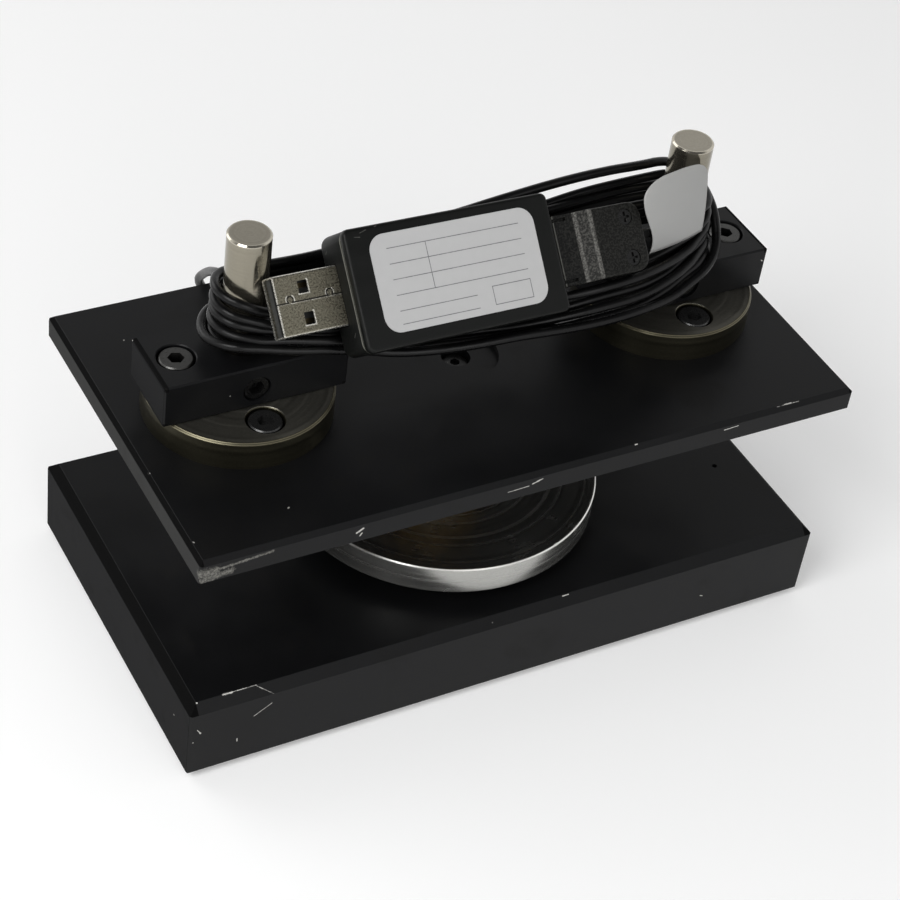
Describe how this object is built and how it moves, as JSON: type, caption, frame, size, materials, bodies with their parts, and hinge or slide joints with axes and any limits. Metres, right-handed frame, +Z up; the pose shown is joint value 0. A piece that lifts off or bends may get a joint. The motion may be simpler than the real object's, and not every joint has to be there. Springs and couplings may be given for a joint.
{
  "type": "load cell test fixture",
  "caption": "Bench fixture: two black plates with an S-beam load cell between them on a round platen, clamped posts on top, and a cable wound round them to a readout module",
  "frame": {"origin": "Middle of the base plate's underside, on the surface that the fixture stands on.", "axes": "+X along the long side of the plates, towards the connector end; +Y from the readout module to the back; +Z up."},
  "size_m": [0.1524, 0.0891, 0.1068],
  "materials": {
    "black_anodised": "black anodised, fine matt",
    "clear_anodised": "clear anodised, turned edge",
    "gold_anodised": "gold anodised",
    "turned_steel": "turned, lightly oxidised",
    "bright_steel": "ground and polished",
    "plated_steel": "matt nickel plate",
    "black_screw": "black oxide",
    "gold_contact": "gold flash",
    "black_plastic": "fine moulded texture",
    "circuit_board": "solder mask",
    "sealant": "satin potting compound",
    "cable_jacket": "smooth, slightly glossy",
    "label_film": "blank satin label"
  },
  "bodies": {
    "root": {"base_plate": "black_anodised", "base_spacer": "black_anodised", "lower_platen": "clear_anodised", "platen_screws": "black_screw", "load_cell_body": "gold_anodised", "gauge_covers": "sealant", "load_cell_gland": "black_plastic", "cell_boss_lower": "bright_steel", "cell_boss_upper": "bright_steel", "cell_screw_lower": "black_screw", "cell_screw_upper": "black_screw", "top_plate": "black_anodised", "left_flange": "turned_steel", "right_flange": "turned_steel", "flange_screws": "black_screw", "left_clamp": "black_anodised", "right_clamp": "black_anodised", "clamp_screws": "black_screw", "set_screws": "black_screw", "left_post": "bright_steel", "right_post": "bright_steel", "module_front_shell": "black_plastic", "module_rear_shell": "black_plastic", "module_label": "label_film", "module_circuit_board": "circuit_board", "usb_plug_skin": "plated_steel", "usb_plug_tongue": "black_plastic", "usb_plug_contacts": "gold_contact", "sensor_socket": "black_plastic", "connector_upper_hood": "black_plastic", "connector_lower_hood": "black_plastic", "connector_insert": "black_plastic", "connector_screws": "black_screw", "sensor_cable_lead": "cable_jacket", "sensor_cable_hank": "cable_jacket", "sensor_cable_tail": "cable_jacket", "flag_label": "label_film"}
  },
  "joints": []
}
